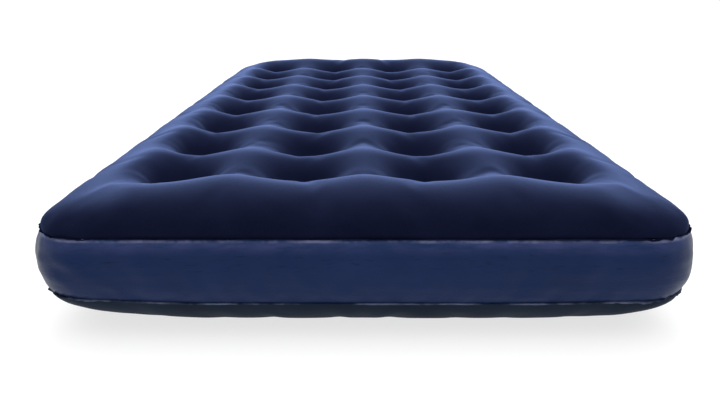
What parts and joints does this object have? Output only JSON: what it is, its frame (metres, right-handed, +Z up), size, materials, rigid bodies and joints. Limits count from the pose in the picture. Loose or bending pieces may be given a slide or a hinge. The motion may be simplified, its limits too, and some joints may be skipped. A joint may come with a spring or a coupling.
{
  "type": "air mattress",
  "caption": "Flocked air mattress: dimpled velvet top, bulging vinyl side wall, internal air coils, screw valve with tethered insert and cap.",
  "frame": {"origin": "centre of the underside, on the floor", "axes": "+Z up, Y along the mattress with +Y towards the head end that carries the valve, X across"},
  "size_m": [0.99, 1.8988, 0.22],
  "materials": {
    "flocked_top": "navy flocking, velvet sheen",
    "wall_vinyl": "satin navy vinyl",
    "bottom_vinyl": "fine-grained navy vinyl",
    "coil_vinyl": "plain vinyl",
    "valve_plastic": "moulded soft vinyl",
    "seal_rubber": "grey soft rubber"
  },
  "bodies": {
    "mattress": {"top_sheet": "flocked_top", "bottom_sheet": "bottom_vinyl", "side_wall": "wall_vinyl", "top_weld_margin": "wall_vinyl", "bottom_weld_margin": "wall_vinyl", "side_wall_lap_weld": "wall_vinyl", "air_coil_r1_c1": "coil_vinyl", "air_coil_r1_c2": "coil_vinyl", "air_coil_r1_c3": "coil_vinyl", "air_coil_r1_c4": "coil_vinyl", "air_coil_r2_c1": "coil_vinyl", "air_coil_r2_c2": "coil_vinyl", "air_coil_r2_c3": "coil_vinyl", "air_coil_r2_c4": "coil_vinyl", "air_coil_r3_c1": "coil_vinyl", "air_coil_r3_c2": "coil_vinyl", "air_coil_r3_c3": "coil_vinyl", "air_coil_r3_c4": "coil_vinyl", "air_coil_r4_c1": "coil_vinyl", "air_coil_r4_c2": "coil_vinyl", "air_coil_r4_c3": "coil_vinyl", "air_coil_r4_c4": "coil_vinyl", "air_coil_r5_c1": "coil_vinyl", "air_coil_r5_c2": "coil_vinyl", "air_coil_r5_c3": "coil_vinyl", "air_coil_r5_c4": "coil_vinyl", "air_coil_r6_c1": "coil_vinyl", "air_coil_r6_c2": "coil_vinyl", "air_coil_r6_c3": "coil_vinyl", "air_coil_r6_c4": "coil_vinyl", "air_coil_r7_c1": "coil_vinyl", "air_coil_r7_c2": "coil_vinyl", "air_coil_r7_c3": "coil_vinyl", "air_coil_r7_c4": "coil_vinyl", "air_coil_r8_c1": "coil_vinyl", "air_coil_r8_c2": "coil_vinyl", "air_coil_r8_c3": "coil_vinyl", "air_coil_r8_c4": "coil_vinyl", "valve_patch": "wall_vinyl", "valve_base": "valve_plastic", "base_gasket": "seal_rubber", "insert_strap": "valve_plastic", "insert_strap_stud": "valve_plastic"},
    "insert_lift": {"insert_collar": "valve_plastic"},
    "insert": {"valve_insert": "valve_plastic", "flap_hinge_pin": "valve_plastic", "cap_strap": "valve_plastic", "cap_strap_stud": "valve_plastic"},
    "flap": {"check_flap": "seal_rubber"},
    "cap_lift": {"cap_collar": "valve_plastic"},
    "cap": {"valve_cap": "valve_plastic", "cap_seal": "seal_rubber"}
  },
  "joints": [
    {"name": "insert_turn", "type": "hinge", "parent": "insert_lift", "child": "insert", "pos_m": [-0.285, 0.94, 0.116], "axis": [0, 1, 0], "range_deg": [0, 901]},
    {"name": "insert_travel", "type": "slide", "parent": "mattress", "child": "insert_lift", "axis": [0, 1, 0], "range_m": [0, 0.01], "deforming": ["insert_strap"]},
    {"name": "cap_turn", "type": "hinge", "parent": "cap_lift", "child": "cap", "pos_m": [-0.285, 0.94, 0.116], "axis": [0, 1, 0], "range_deg": [0, 901]},
    {"name": "cap_travel", "type": "slide", "parent": "insert", "child": "cap_lift", "axis": [0, 1, 0], "range_m": [0, 0.01], "deforming": ["cap_strap"]},
    {"name": "flap_swing", "type": "hinge", "parent": "insert", "child": "flap", "pos_m": [-0.285, 0.9407, 0.1276], "axis": [-1, 0, 0], "range_deg": [0, 50], "stiffness_Nm_per_rad": 0.002}
  ],
  "couplings": [
    {"joint": "insert_turn", "follows": "insert_travel", "rad_per_m": 1570.8},
    {"joint": "cap_turn", "follows": "cap_travel", "rad_per_m": 1570.8}
  ]
}
